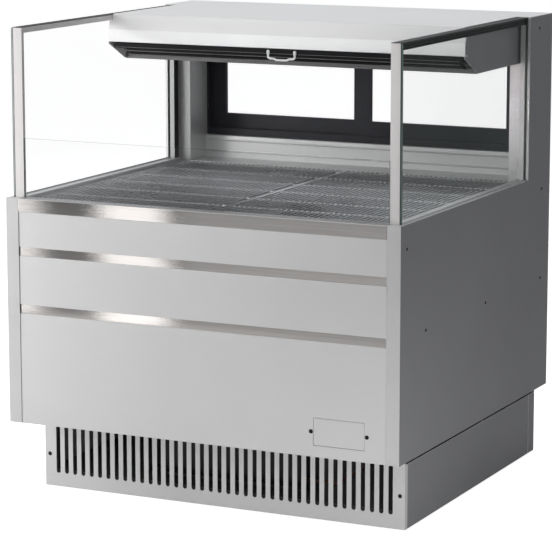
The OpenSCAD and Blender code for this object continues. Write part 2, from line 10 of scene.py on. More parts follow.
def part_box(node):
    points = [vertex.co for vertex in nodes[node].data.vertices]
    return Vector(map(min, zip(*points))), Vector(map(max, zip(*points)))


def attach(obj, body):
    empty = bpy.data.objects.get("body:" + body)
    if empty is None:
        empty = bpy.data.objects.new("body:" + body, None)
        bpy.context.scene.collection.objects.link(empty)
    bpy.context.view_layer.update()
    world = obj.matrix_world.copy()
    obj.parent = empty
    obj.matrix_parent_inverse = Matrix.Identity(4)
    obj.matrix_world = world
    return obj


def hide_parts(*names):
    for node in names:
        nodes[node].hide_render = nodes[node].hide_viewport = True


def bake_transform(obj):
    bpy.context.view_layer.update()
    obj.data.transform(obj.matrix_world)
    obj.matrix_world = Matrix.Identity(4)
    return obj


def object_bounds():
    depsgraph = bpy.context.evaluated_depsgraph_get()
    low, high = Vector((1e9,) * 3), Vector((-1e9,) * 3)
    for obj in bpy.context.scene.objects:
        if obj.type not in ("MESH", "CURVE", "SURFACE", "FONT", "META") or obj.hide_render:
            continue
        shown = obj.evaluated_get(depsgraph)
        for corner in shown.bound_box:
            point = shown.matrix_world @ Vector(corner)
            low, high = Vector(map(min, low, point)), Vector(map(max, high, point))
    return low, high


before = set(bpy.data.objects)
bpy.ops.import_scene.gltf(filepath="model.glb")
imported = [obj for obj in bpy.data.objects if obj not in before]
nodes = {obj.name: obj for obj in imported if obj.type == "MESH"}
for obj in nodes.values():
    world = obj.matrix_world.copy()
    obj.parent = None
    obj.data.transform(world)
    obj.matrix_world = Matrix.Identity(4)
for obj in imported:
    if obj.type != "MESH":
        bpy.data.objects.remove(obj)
CAD_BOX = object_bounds()
FRONT = CAD_BOX[0].y


def at(x, y, z):
    """Point from millimetres, with y counted from the cabinet's front face."""
    return Vector((x / 1000, FRONT + y / 1000, z / 1000))


def box(name):
    """A node's box in millimetres, with y counted from the front face: (low corner, high corner)."""
    lo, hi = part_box(name)
    shift = Vector((0, FRONT, 0))
    return (lo - shift) * 1000, (hi - shift) * 1000


# ---------------------------------------------------------------- materials
class Shader:
    """A Principled material with helpers that add procedural detail."""

    def __init__(self, name, color, rough, metal=0.0, spec=0.5):
        self.m = bpy.data.materials.new(name)
        self.m.use_nodes = True
        self.nt = self.m.node_tree
        self.b = self.nt.nodes["Principled BSDF"]
        self.color = color
        self.rough = rough
        self.set("Base Color", (*color, 1))
        self.set("Roughness", rough)
        self.set("Metallic", metal)
        self.set("Specular IOR Level", spec)
        self.coord = self.add("ShaderNodeTexCoord")
        self.last_normal = None

    def add(self, kind, **settings):
        n = self.nt.nodes.new(kind)
        for k, v in settings.items():
            setattr(n, k, v)
        return n

    def link(self, a, b):
        self.nt.links.new(a, b)

    def set(self, name, value):
        self.b.inputs[name].default_value = value

    def noise(self, scale, stretch=(1, 1, 1), detail=3.0, rough=0.55):
        """Noise in object space; stretch multiplies the coordinates."""
        mapping = self.add("ShaderNodeMapping")
        mapping.inputs["Scale"].default_value = stretch
        n = self.add("ShaderNodeTexNoise")
        n.inputs["Scale"].default_value = scale
        n.inputs["Detail"].default_value = detail
        n.inputs["Roughness"].default_value = rough
        self.link(self.coord.outputs["Object"], mapping.inputs["Vector"])
        self.link(mapping.outputs["Vector"], n.inputs["Vector"])
        return n.outputs["Fac"]

    def spread(self, fac, low, high, lo_in=0.3, hi_in=0.7):
        """The value, moved from lo_in..hi_in to low..high."""
        r = self.add("ShaderNodeMapRange")
        self.link(fac, r.inputs["Value"])
        for name, v in (("From Min", lo_in), ("From Max", hi_in), ("To Min", low), ("To Max", high)):
            r.inputs[name].default_value = v
        return r.outputs["Result"]

    def mix(self, fac, a, b, mode="MIX"):
        """Blend of two colours, each a tuple or a socket."""
        n = self.add("ShaderNodeMix", data_type="RGBA", blend_type=mode)
        if isinstance(fac, float):
            n.inputs[0].default_value = fac
        else:
            self.link(fac, n.inputs[0])
        for socket, v in ((n.inputs[6], a), (n.inputs[7], b)):
            if isinstance(v, tuple):
                socket.default_value = (*v, 1) if len(v) == 3 else v
            else:
                self.link(v, socket)
        return n.outputs[2]

    def tone(self, fac, amount, base=None):
        """Colour that varies by a share of amount to either side of the base."""
        c = base if base is not None else self.color
        if isinstance(c, tuple):
            dark = tuple(v * (1 - amount) for v in c)
            light = tuple(min(1.0, v * (1 + amount)) for v in c)
            return self.mix(self.spread(fac, 0, 1), dark, light)
        value = self.add("ShaderNodeCombineColor")
        for i in range(3):
            self.link(self.spread(fac, 1 - amount, 1 + amount), value.inputs[i])
        return self.mix(1.0, c, value.outputs[0], "MULTIPLY")

    def colour_out(self, out):
        self.link(out, self.b.inputs["Base Color"])

    def rough_out(self, out):
        self.link(out, self.b.inputs["Roughness"])

    def bump(self, height, strength, distance):
        """Adds relief on top of what the material already has."""
        n = self.add("ShaderNodeBump")
        n.inputs["Strength"].default_value = strength
        n.inputs["Distance"].default_value = distance
        self.link(height, n.inputs["Height"])
        if self.last_normal is not None:
            self.link(self.last_normal, n.inputs["Normal"])
        self.last_normal = n.outputs["Normal"]
        self.link(self.last_normal, self.b.inputs["Normal"])

    def edge_mask(self, radius, low=0.02, high=0.25):
        """1 on sharp edges, where the bevelled normal leaves the true one."""
        bevel = self.add("ShaderNodeBevel", samples=4)
        bevel.inputs["Radius"].default_value = radius
        geo = self.add("ShaderNodeNewGeometry")
        dot = self.add("ShaderNodeVectorMath", operation="DOT_PRODUCT")
        self.link(bevel.outputs["Normal"], dot.inputs[0])
        self.link(geo.outputs["Normal"], dot.inputs[1])
        return self.spread(dot.outputs["Value"], 1, 0, 1 - high, 1 - low)

    def facing(self, axis):
        """Size of the surface normal's component along an object axis."""
        split = self.add("ShaderNodeSeparateXYZ")
        self.link(self.coord.outputs["Normal"], split.inputs[0])
        size = self.add("ShaderNodeMath", operation="ABSOLUTE")
        self.link(split.outputs["XYZ".index(axis)], size.inputs[0])
        return size.outputs[0]

    def painted_edge_highlight(self, axis, base, light=(0.97, 0.97, 0.97)):
        """Painted highlight: lightens rounded edges, where the normal is neither along the axis nor across
        it.
        """
        along = self.facing(axis)
        across = self.add("ShaderNodeMath", operation="SUBTRACT")
        across.inputs[0].default_value = 1.0
        self.link(along, across.inputs[1])
        both = self.add("ShaderNodeMath", operation="MULTIPLY")
        self.link(along, both.inputs[0])
        self.link(across.outputs[0], both.inputs[1])
        return self.mix(self.spread(both.outputs[0], 0, 1, 0.04, 0.16), base, light)


def satin(name, color, rough, metal, grain, var, bump, edges=None):
    """Finely ground sheet: grain is the stretch of the brush marks, with small numbers along them; edges is
    the axis whose rounded edges get a painted highlight.
    """
    s = Shader(name, color, rough, metal)
    marks = s.noise(1.0, grain, 4.0, 0.65)
    cloud = s.noise(3.2, (1, 1, 1), 2.0)
    out = s.tone(cloud, 0.02, s.tone(marks, var))
    # Painted highlight on the rounded edges when edges is given
    s.colour_out(s.painted_edge_highlight(edges, out) if edges else out)
    s.rough_out(s.spread(marks, rough - 0.05, rough + 0.06))
    s.bump(marks, bump, 0.0004)
    return s


def coated(name, color, rough, var=0.03, peel=0.10, metal=0.0, edge=None, spec=0.5, cell=900):
    """Coated or moulded surface with a fine texture; edge is the lighter colour of sharp edges, partly wear
    and partly painted highlight.
    """
    s = Shader(name, color, rough, metal, spec)
    fine = s.noise(cell, (1, 1, 1), 2.0)
    cloud = s.noise(4.0, (1, 1, 1), 3.0)
    out = s.tone(cloud, var)
    if edge is not None:
        # Patchy lighter edges: part wear, part painted highlight
        wear_and_highlight = s.noise(60, (1, 1, 1), 3.0)
        mask = s.add("ShaderNodeMath", operation="MULTIPLY")
        s.link(s.edge_mask(0.0006), mask.inputs[0])
        s.link(s.spread(wear_and_highlight, 0.15, 0.9, 0.42, 0.62), mask.inputs[1])
        out = s.mix(mask.outputs[0], out, edge)
    s.colour_out(out)
    s.rough_out(s.spread(cloud, rough - 0.05, rough + 0.05))
    s.bump(fine, peel, 0.0003)
    return s


M = {}
# The front panels' rounded edges carry a painted highlight
M["panel"] = satin("panel_satin", (0.75, 0.745, 0.745), 0.42, 0.25, (14, 14, 900), 0.02, 0.03,
                   edges="Y").m
M["lip"] = satin("canopy_lip", (0.13, 0.13, 0.132), 0.45, 0.35, (14, 900, 900), 0.04, 0.05).m
M["liner"] = satin("liner_satin", (0.66, 0.66, 0.655), 0.40, 0.45, (900, 14, 14), 0.03, 0.05).m
M["canopy"] = satin("canopy_satin", (0.80, 0.795, 0.79), 0.36, 0.25, (10, 700, 700), 0.02, 0.03).m
M["frame"] = satin("frame_polished", (0.92, 0.885, 0.88), 0.34, 0.10, (700, 700, 12), 0.03, 0.04).m
M["zinc"] = coated("zinc_plate", (0.52, 0.53, 0.55), 0.42, 0.10, 0.10, metal=0.9, cell=260).m
# Dark sheet parts in the base, painted dark as shade behind the grille
M["pan_painted_shade"] = coated("pan_painted_shade", (0.05, 0.05, 0.052), 0.55, 0.12, 0.10).m
# The lighter edge colours of the black frame and black paint are part wear, part painted highlight
M["black_frame"] = coated("black_frame", (0.020, 0.020, 0.025), 0.42, 0.18, 0.22,
                          edge=(0.12, 0.12, 0.125), spec=0.25).m
M["black_paint"] = coated("black_paint", (0.022, 0.022, 0.023), 0.50, 0.15, 0.20,
                          edge=(0.09, 0.09, 0.09)).m
M["black_plastic"] = coated("black_plastic", (0.008, 0.008, 0.009), 0.45, 0.15, 0.25,
                            spec=0.12, cell=1400).m
M["rubber"] = coated("black_rubber", (0.018, 0.017, 0.017), 0.70, 0.20, 0.35, cell=600).m
M["screw"] = coated("black_screw", (0.018, 0.018, 0.018), 0.35, 0.2, 0.08, metal=0.6).m
M["eyelet"] = coated("bright_eyelet", (0.38, 0.38, 0.39), 0.30, 0.05, 0.04, metal=0.8).m
M["white_plastic"] = coated("white_plastic", (0.80, 0.80, 0.78), 0.45, 0.03, 0.15, cell=1200).m
M["white_wire"] = coated("white_dip", (0.90, 0.90, 0.89), 0.32, 0.03, 0.10, cell=500).m
M["foam"] = coated("cut_foam", (0.86, 0.80, 0.58), 0.9, 0.08, 0.9, cell=420).m
M["lens"] = coated("frosted_lens", (0.92, 0.92, 0.90), 0.30, 0.02, 0.06).m
M["wire"] = coated("bright_wire", (0.60, 0.60, 0.61), 0.26, 0.08, 0.06, metal=0.95, cell=300).m
M["fascia"] = satin("fascia_light", (0.95, 0.95, 0.945), 0.38, 0.10, (10, 700, 700), 0.015, 0.02).m
# A darker copy of the steel, as painted shade
M["painted_shade_steel"] = satin("shaded_steel", (0.36, 0.36, 0.36), 0.45, 0.4, (9, 900, 900), 0.06, 0.05).m
# Pale colour for painted highlights on the grille's lip crests and the pull bar's edge
M["nozzle_lip"] = coated("nozzle_lip", (0.15, 0.145, 0.14), 0.35, 0.10, 0.10).m
# Light colour for the end caps' inner faces, as painted light
M["cap_painted_light"] = coated("cap_painted_light", (0.92, 0.92, 0.90), 0.40, 0.03, 0.08).m
M["fins"] = satin("fin_stock", (0.62, 0.63, 0.65), 0.35, 0.9, (300, 300, 40), 0.08, 0.2).m
# Black-coated condenser fins, kept dark also as painted shade behind the grille
M["dark_fins"] = satin("coated_fins_painted_shade", (0.03, 0.03, 0.032), 0.45, 0.3, (300, 300, 40), 0.2, 0.2).m
# Copper darkened as painted shade behind the grille
M["copper"] = coated("copper_painted_shade", (0.16, 0.08, 0.055), 0.45, 0.25, 0.08, metal=0.7, cell=120).m


def make_shaded_side_skin():
    """Grey coated side skin with painted light and shade: the faces across X are painted dark as shade, its
    narrow flanges are painted light like the front panels, and rounded edges get a painted highlight.
    """
    s = Shader("side_skin_painted_shade", (0.31, 0.31, 0.32), 0.42, 0.20)
    marks = s.noise(1.0, (14, 900, 14), 4.0, 0.65)
    cloud = s.noise(2.4, (1, 1, 1), 3.0)
    side = s.tone(cloud, 0.05, s.tone(marks, 0.03))
    lit_flange = s.tone(marks, 0.02, (0.69, 0.685, 0.685))
    # Painted shade on the faces across X, painted light on the flanges, picked by the normal's direction
    s.colour_out(s.painted_edge_highlight("X", s.mix(s.spread(s.facing("X"), 0, 1, 0.55, 0.75), lit_flange, side)))
    s.rough_out(s.spread(marks, 0.36, 0.46))
    s.bump(marks, 0.04, 0.0004)
    return s.m


M["side"] = make_shaded_side_skin()


def make_brushed():
    """Long-grain brushed steel, whose reflections spread across the grain."""
    s = Shader("brushed_steel", (0.80, 0.765, 0.74), 0.13, 1.0)
    marks = s.noise(1.0, (9, 1100, 1100), 5.0, 0.7)
    streaks = s.noise(1.0, (2.5, 260, 260), 3.0, 0.6)
    s.colour_out(s.tone(streaks, 0.06, s.tone(marks, 0.10)))
    s.rough_out(s.spread(marks, 0.022, 0.038))
    s.bump(marks, 0.06, 0.0005)
    s.set("Anisotropic", 1.0)
    s.set("Anisotropic Rotation", 0.25)
    tangent = s.add("ShaderNodeTangent", direction_type="RADIAL", axis="Z")
    s.link(tangent.outputs["Tangent"], s.b.inputs["Tangent"])
    return s.m


M["brushed"] = make_brushed()


def make_glass(name, tint, face_alpha, edge_alpha):
    """Clear sheet glass: mostly see-through, and more mirror-like at a glancing angle."""
    s = Shader(name, tint, 0.03, 0.0, 0.5)
    fres = s.add("ShaderNodeLayerWeight")
    fres.inputs["Blend"].default_value = 0.5
    film = s.noise(5.0, (1, 1, 1), 3.0)
    rim = s.spread(fres.outputs["Facing"], face_alpha, edge_alpha, 0.55, 1.0)
    veil = s.spread(film, 0.85, 1.15)
    total = s.add("ShaderNodeMath", operation="MULTIPLY")
    s.link(rim, total.inputs[0])
    s.link(veil, total.inputs[1])
    s.link(total.outputs[0], s.b.inputs["Alpha"])
    s.rough_out(s.spread(film, 0.02, 0.06))
    s.m.surface_render_method = "BLENDED"
    return s.m


M["glass"] = make_glass("clear_glass", (0.46, 0.56, 0.51), 0.012, 0.30)
M["guard"] = make_glass("guard_clear", (0.55, 0.58, 0.57), 0.016, 0.30)
M["glass_edge"] = make_glass("glass_edge", (0.16, 0.23, 0.20), 0.80, 1.0)


def make_weave():
    """Black woven curtain cloth with its yarns about 0.6 mm apart."""
    s = Shader("curtain_weave", (0.035, 0.035, 0.038), 0.85, 0.0, 0.3)
    waves = []
    for direction in ("X", "Z"):
        w = s.add("ShaderNodeTexWave", wave_type="BANDS", bands_direction=direction)
        w.inputs["Scale"].default_value = 260
        w.inputs["Distortion"].default_value = 0.6
        s.link(s.coord.outputs["Object"], w.inputs["Vector"])
        waves.append(w.outputs["Fac"])
    top = s.add("ShaderNodeMath", operation="MAXIMUM")
    s.link(waves[0], top.inputs[0])
    s.link(waves[1], top.inputs[1])
    yarns = s.mix(top.outputs[0], (0.016, 0.016, 0.018), (0.050, 0.050, 0.054))
    s.colour_out(s.tone(s.noise(40), 0.15, yarns))
    s.bump(top.outputs[0], 0.5, 0.0004)
    s.set("Sheen Weight", 0.25)
    return s.m


M["weave"] = make_weave()


# ---------------------------------------------------------------- carried-over CAD nodes
def dress(name, material, bevel):
    """Gives a CAD node its finish and, where wanted, a small edge radius in mm."""
    o = nodes[name]
    o.data.materials.clear()
    o.data.materials.append(M[material])
    if bevel:
        weld = o.modifiers.new("join", "WELD")
        weld.merge_threshold = 0.00002
        flat = o.modifiers.new("flat", "DECIMATE")
        flat.decimate_type = "DISSOLVE"
        flat.angle_limit = math.radians(0.5)
        b = o.modifiers.new("edge", "BEVEL")
        b.width = bevel / 1000
        b.segments = 2
        b.limit_method = "ANGLE"
        b.angle_limit = math.radians(32)
        b.use_clamp_overlap = True
        o.modifiers.new("shade", "WEIGHTED_NORMAL").keep_sharp = True
        for p in o.data.polygons:
            p.use_smooth = True


for name, material, bevel in (
    ("side_panel_left", "side", 1.4), ("side_panel_right", "side", 1.4),
    ("insulation", "foam", 0), ("well_liner", "liner", 0.6),
    # The right tower takes the lighter canopy finish as painted light
    ("tower_left", "liner", 0.5), ("tower_right", "canopy", 0.5),
    ("nose_trim", "brushed", 0.7), ("upper_front_panel", "panel", 1.1),
    ("middle_front_panel", "panel", 1.1), ("lower_front_panel", "panel", 1.1),
    ("trim_strips", "brushed", 0.6), ("access_cover", "panel", 0.5),
    ("thermostat", "white_plastic", 1.0), ("thermostat_knob", "black_plastic", 0.6),
    ("base_frame", "black_paint", 1.0), ("base_grille", "panel", 0.35),
    ("base_skirts", "side", 0.5), ("floor_pan", "pan_painted_shade", 0.4),
    ("rear_panel", "panel", 0.3), ("back_wall", "liner", 0.6),
    ("canopy_shell", "canopy", 0.7), ("canopy_ends", "cap_painted_light", 0.4),
    ("canopy_liner", "lip", 0.4), ("lamp_housing", "white_plastic", 1.0),
    ("lamp_lens", "lens", 0.8), ("curtain_brackets", "zinc", 0.4),
    ("curtain_bar", "black_plastic", 1.5), ("side_frame_left", "frame", 0.6),
    ("side_frame_right", "frame", 0.6), ("glass_gaskets", "rubber", 0.3),
    ("rear_channels", "liner", 0.3), ("door_frame", "black_frame", 1.3),
    ("rear_door_left", "black_frame", 1.0), ("rear_door_right", "black_frame", 1.0),
    ("door_glass_left", "glass", 0), ("door_glass_right", "glass", 0),
    ("evaporator_coil", "fins", 0), ("evaporator_fan_plate", "zinc", 0.4),
    ("evaporator_fan", "black_plastic", 0), ("fan_motors", "zinc", 0.8),
    ("drain_tube", "white_plastic", 0), ("compressor", "black_paint", 0),
    ("condenser", "dark_fins", 0), ("condenser_shroud", "pan_painted_shade", 0.5),
    ("condenser_fan", "black_plastic", 0), ("refrigerant_tubes", "copper", 0),
    ("cleaning_brush", "black_plastic", 0.6), ("brush_screw", "zinc", 0.4),
    ("control_box", "pan_painted_shade", 0.8),
):
    dress(name, material, bevel)


def second_finish(name, material, chosen):
    """Gives the faces of a CAD node that chosen(normal, centre) picks another finish."""
    mesh = nodes[name].data
    mesh.materials.append(M[material])
    for p in mesh.polygons:
        if chosen(p.normal, p.center):
            p.material_index = len(mesh.materials) - 1


# End caps are painted dark outside as shade and painted light inside, the fascia is lighter than the slope,
# the channels' inner faces are black rubber, and the top of the nose and the fronts of the left tower and
# channel take a darker copy of the steel as painted shade
second_finish("nose_trim", "painted_shade_steel", lambda n, c: n.z > 0.9)
second_finish("canopy_ends", "side", lambda n, c: abs(n.x) > 0.9 and n.x * c.x > 0)
second_finish("canopy_shell", "fascia", lambda n, c: n.y < -0.99)
second_finish("rear_channels", "rubber", lambda n, c: abs(n.x) > 0.9 and n.x * c.x < 0)
second_finish("rear_channels", "painted_shade_steel", lambda n, c: n.y < -0.9 and c.x < 0)
second_finish("tower_left", "painted_shade_steel", lambda n, c: n.y < -0.9)
GLASS_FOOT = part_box("glass_gaskets")[0].z + 0.0025
second_finish("glass_gaskets", "zinc", lambda n, c: c.z < GLASS_FOOT)


# ---------------------------------------------------------------- new pieces
def piece(name, mesh, material, body, replaces=(), smooth=True):
    """Links a mesh object, gives it finishes and puts it on its body."""
    o = bpy.data.objects.new(name, mesh)
    bpy.context.scene.collection.objects.link(o)
    for m in [material] if isinstance(material, str) else material:
        mesh.materials.append(M[m])
    if smooth:
        for p in mesh.polygons:
            p.use_smooth = True
    if replaces:
        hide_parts(*replaces)
    if body:
        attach(o, body)
    return o


def joined(name, build):
    """A mesh filled by build(bm)."""
    bm = bmesh.new()
    build(bm)
    bmesh.ops.recalc_face_normals(bm, faces=bm.faces)
    mesh = bpy.data.meshes.new(name)
    bm.to_mesh(mesh)
    bm.free()
    return mesh


def fillet(points, radius, steps=5):
    """The path with its corners rounded."""
    out = [points[0]]
    for a, b, c in zip(points, points[1:], points[2:]):
        u, v = (a - b), (c - b)
        reach = min(radius, u.length * 0.48, v.length * 0.48)
        p, q = b + u.normalized() * reach, b + v.normalized() * reach
        for i in range(steps + 1):
            t = i / steps
            out.append(p * (1 - t) ** 2 + b * 2 * t * (1 - t) + q * t * t)
    return out + [points[-1]]


def wires(name, paths, radius, resolution=3):
    """One mesh of round wires along the paths; a path is (points, closed)."""
    c = bpy.data.curves.new(name, "CURVE")
    c.dimensions = "3D"
    c.bevel_depth = radius
    c.bevel_resolution = resolution
    c.use_fill_caps = True
    for points, closed in paths:
        s = c.splines.new("POLY")
        s.points.add(len(points) - 1)
        for p, q in zip(s.points, points):
            p.co = (*q, 1)
        s.use_cyclic_u = closed
    o = bpy.data.objects.new(name, c)
    bpy.context.scene.collection.objects.link(o)
    mesh = bpy.data.meshes.new_from_object(o)
    bpy.data.objects.remove(o)
    bpy.data.curves.remove(c)
    return mesh


def rings(bm, centre, axis, profile, sides=24, hex_from=None):
    """Surface of revolution: profile is [(radius, height)] in mm; rings from hex_from on are hexagons."""
    axis = axis.normalized()
    u = axis.orthogonal().normalized()
    v = axis.cross(u)
    loops = []
    for k, (r, h) in enumerate(profile):
        loop = []
        for i in range(sides):
            a = 2 * math.pi * i / sides
            rr = r
            if hex_from is not None and k >= hex_from:
                rr = r / math.cos((a % (math.pi / 3)) - math.pi / 6) * 0.95
            away = (u * math.cos(a) + v * math.sin(a)) * rr / 1000
            loop.append(bm.verts.new(centre + away + axis * h / 1000))
        loops.append(loop)
    for a, b in zip(loops, loops[1:]):
        for i in range(sides):
            bm.faces.new((a[i], a[(i + 1) % sides], b[(i + 1) % sides], b[i]))
    bm.faces.new(loops[0])
    bm.faces.new(loops[-1])


def pane(name, node, thin_axis, material):
    """Sheet glass with ground edges; thin_axis is the number of its thickness axis."""
    lo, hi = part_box(node)

    def build(bm):
        made = bmesh.ops.create_cube(bm, size=1.0)
        for v in made["verts"]:
            v.co = Vector([(lo[i] + hi[i]) / 2 + v.co[i] * (hi[i] - lo[i]) for i in range(3)])
        bmesh.ops.bevel(bm, geom=bm.edges[:], offset=0.0007, segments=2, affect="EDGES")

    mesh = joined(name, build)
    piece(name, mesh, [material, "glass_edge"], "cabinet", [node], smooth=False)
    for p in mesh.polygons:
        p.material_index = 0 if abs(p.normal[thin_axis]) > 0.99 else 1


pane("guard_pane", "front_guard", 1, "guard")
pane("side_pane_left", "side_glass_left", 0, "glass")
pane("side_pane_right", "side_glass_right", 0, "glass")


HEAVY_R, FINE_R = 3.0, 1.5  # radii of the racks' wires, mm
FINE_PITCH = 12.2
CROSS_WIRES = 5
BORDER_CORNER = 10


def deck_rack(name, node, body):
    """Wire rack: a border with cross wires, and closely spaced wires bent over them."""
    lo, hi = box(node)
    z = hi.z - 1.6
    low = z - HEAVY_R - FINE_R - 0.1
    x0, x1, y0, y1 = lo.x + HEAVY_R, hi.x - HEAVY_R, lo.y + HEAVY_R, hi.y - HEAVY_R
    corners = [(x0, y0), (x1, y0), (x1, y1), (x0, y1)]
    border = []
    for i, (x, y) in enumerate(corners):
        px, py = corners[i - 1]
        nx, ny = corners[(i + 1) % 4]
        b = Vector((x, y))
        for t in (0, 0.25, 0.5, 0.75, 1):
            p = b + (Vector((px, py)) - b).normalized() * BORDER_CORNER
            q = b + (Vector((nx, ny)) - b).normalized() * BORDER_CORNER
            m = p * (1 - t) ** 2 + b * 2 * t * (1 - t) + q * t * t
            border.append(at(m.x, m.y, low))
    heavy = [(border, True)]
    for k in range(1, CROSS_WIRES + 1):
        y = y0 + (y1 - y0) * k / (CROSS_WIRES + 1)
        heavy.append(([at(x0, y, low), at(x1, y, low)], False))
    count = int((x1 - x0 - 8) / FINE_PITCH)
    fine = []
    for i in range(count + 1):
        x = (x0 + x1) / 2 + (i - count / 2) * FINE_PITCH
        fine.append((fillet([at(x, y0 - 0.6, low + 0.6), at(x, y0 - 0.6, z), at(x, y1 + 0.6, z),
                             at(x, y1 + 0.6, low + 0.6)], 0.003, 4), False))
    border_mesh = wires(name + "_border", heavy, HEAVY_R / 1000, 3)
    piece(name + "_border", border_mesh, "wire", body)
    fine_mesh = wires(name + "_wires", fine, FINE_R / 1000, 2)
    piece(name + "_wires", fine_mesh, "wire", body, [node])


deck_rack("rack_left", "deck_rack_left", "left_rack")
deck_rack("rack_right", "deck_rack_right", "right_rack")

# Pale bead along the lower front edge of the pull bar, a painted highlight
lo, hi = box("curtain_bar")
highlight_line = [at(lo.x + 4, lo.y + 0.2, lo.z + 2.2), at(hi.x - 4, lo.y + 0.2, lo.z + 2.2)]
piece("pull_bar_highlight", wires("pull_bar_highlight", [(highlight_line, False)], 0.0006, 3), "nozzle_lip", "curtain_bar")

# Bent wire pull with its dip
lo, hi = box("curtain_handle")
grip_y = (lo.y + hi.y) / 2
grip_half = hi.x - 2.5
top = hi.z
outline = [(-1, top), (-1, top - 16), (-0.84, top - 18.6), (-0.56, top - 18.6), (-0.40, top - 21.5),
           (0.40, top - 21.5), (0.56, top - 18.6), (0.84, top - 18.6), (1, top - 16), (1, top)]
grip = fillet([at(x * grip_half, grip_y, z) for x, z in outline], 0.0016, 4)
piece("pull_wire", wires("pull_wire", [(grip, False)], 0.0024, 5), "white_wire", "curtain_bar",
      ["curtain_handle"])


def ferrules(bm):
    """The two ferrules that hold the wire pull."""
    for side in (-1, 1):
        rings(bm, at(side * grip_half, grip_y, top - 9), Vector((0, 0, 1)),
              [(2.9, 0), (3.4, 0.6), (3.4, 7.6), (2.9, 8.2)], 20)


piece("pull_ferrules", joined("pull_ferrules", ferrules), "white_wire", "curtain_bar")


# Roller tube, the cloth rolled on it, and the stretch of cloth down to the pull bar
lo, hi = box("curtain_roller")
roller_y, roller_z = (lo.y + hi.y) / 2, (lo.z + hi.z) / 2
outer = (hi.z - lo.z) / 2
tube_r = 16.0


def roller_tube(bm):
    """Tube with a bearing bore in each end."""
    length = hi.x - lo.x
    rings(bm, at(lo.x, roller_y, roller_z), Vector((1, 0, 0)),
          [(5.1, 9), (5.1, 0.6), (5.6, 0), (tube_r - 0.8, 0), (tube_r, 0.8), (tube_r, length - 0.8),
           (tube_r - 0.8, length), (5.6, length), (5.1, length - 0.6), (5.1, length - 9)], 48)


piece("roller_tube", joined("roller_tube", roller_tube), "zinc", "curtain_roller",
      ["curtain_roller"])

bar_hi = box("curtain_bar")[1]
cloth_half = hi.x - 4
TURNS = 3.75
CLOTH = 0.0005  # thickness, m


def thicken(o):
    """Gives a sheet the cloth's thickness, half to either side."""
    thick = o.modifiers.new("cloth", "SOLIDIFY")
    thick.thickness = CLOTH
    thick.offset = 0


def swept(name, line, columns, half_width):
    """Thin cloth: the line of (y, z) in mm swept along X."""
    bm = bmesh.new()
    across = [-half_width + 2 * half_width * i / columns for i in range(columns + 1)]
    grid = [[bm.verts.new(at(x, y, z)) for x in across] for y, z in line]
    for a, b in zip(grid, grid[1:]):
        for i in range(columns):
            bm.faces.new((a[i], a[i + 1], b[i + 1], b[i]))
    mesh = bpy.data.meshes.new(name)
    bm.to_mesh(mesh)
    bm.free()
    return mesh


spiral = []
steps = int(TURNS * 40)
for i in range(steps + 1):
    a = math.pi + 2 * math.pi * TURNS * (i / steps - 1)
    r = tube_r + 0.6 + (outer - 0.5 - tube_r - 0.6) * i / steps
    spiral.append((roller_y + r * math.cos(a), roller_z - r * math.sin(a)))
roll = piece("curtain_roll", swept("curtain_roll", spiral, 12, cloth_half), "weave", "curtain_roller")
thicken(roll)

leave = Vector(spiral[-1])
foot = Vector((bar_hi.y - 2.6, bar_hi.z + 0.1))
turn = Vector((foot.x + 0.5, foot.y + 1.6))
drop = [tuple(leave.lerp(turn, i / 10)) for i in range(10)]
drop += [tuple(turn.lerp(foot, i / 48)) for i in range(49)]
web = swept("curtain_web", drop, 16, cloth_half)
web_piece = piece("curtain_web", web, "weave", None, ["night_curtain"])
thicken(web_piece)
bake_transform(web_piece)


LIPS = 4
# One lip's outline: (share of the lip's run, height above the face in mm)
LIP_OUTLINE = ((0.00, -2.6), (0.10, -0.6), (0.16, 0.3), (0.24, 0.6), (0.34, 0.3), (0.42, -0.6), (0.52, -2.8),
               (0.78, -3.6), (0.96, -3.4))
# Lips whose crests carry a painted highlight
HIGHLIGHT_LIPS = (1, 3)
CREST = 0.24  # the highest point's share of the run


def nozzle():
    """Discharge grille: a moulding with rounded lips along its face, with a painted highlight on the crests
    of some of them.
    """
    lo, hi = box("air_nozzle")
    a = Vector((lo.y + 1, hi.z - 10))
    b = Vector((hi.y - 6, lo.z + 0.6))
    along = (b - a).normalized()
    out = Vector((along.y, -along.x))
    if out.y > 0:
        out = -out
    run = (b - a).length / LIPS
    face = [a + along * run * (k + t) + out * h for k in range(LIPS) for t, h in LIP_OUTLINE]
    face.append(b + out * -2.6)
    line = [(p.x, p.y) for p in face]
    line += [tuple(b - out * 8), tuple(a - out * 8)]
    half_width = hi.x - 1.0

    def build(bm):
        left = [bm.verts.new(at(-half_width, y, z)) for y, z in line]
        right = [bm.verts.new(at(half_width, y, z)) for y, z in line]
        n = len(line)
        for i in range(n):
            bm.faces.new((left[i], left[(i + 1) % n], right[(i + 1) % n], right[i]))
        bm.faces.new(left)
        bm.faces.new(right)

    o = piece("discharge_grille", joined("discharge_grille", build), ["black_plastic", "nozzle_lip"],
              "cabinet", ["air_nozzle"])
    highlight_crests = [a + along * run * (k + CREST) for k in HIGHLIGHT_LIPS]
    for p in o.data.polygons:
        c = Vector((p.center.y - FRONT, p.center.z)) * 1000
        if abs(p.normal.x) < 0.5 and min((c - m).length for m in highlight_crests) < 2.2:
            p.material_index = 1
    o.data.set_sharp_from_angle(angle=math.radians(50))


nozzle()


SIDE_SCREWS = ((32, 607), (135, 422), (472, 422), (815, 422), (815, 628), (786, 996))  # (y, z)
COVER_SCREW_X = 63  # from the cover's centre
GRILLE_SCREW = (421.5, 100, 73)
SIDE_HEAD_R, FACE_HEAD_R = 4.0, 4.6


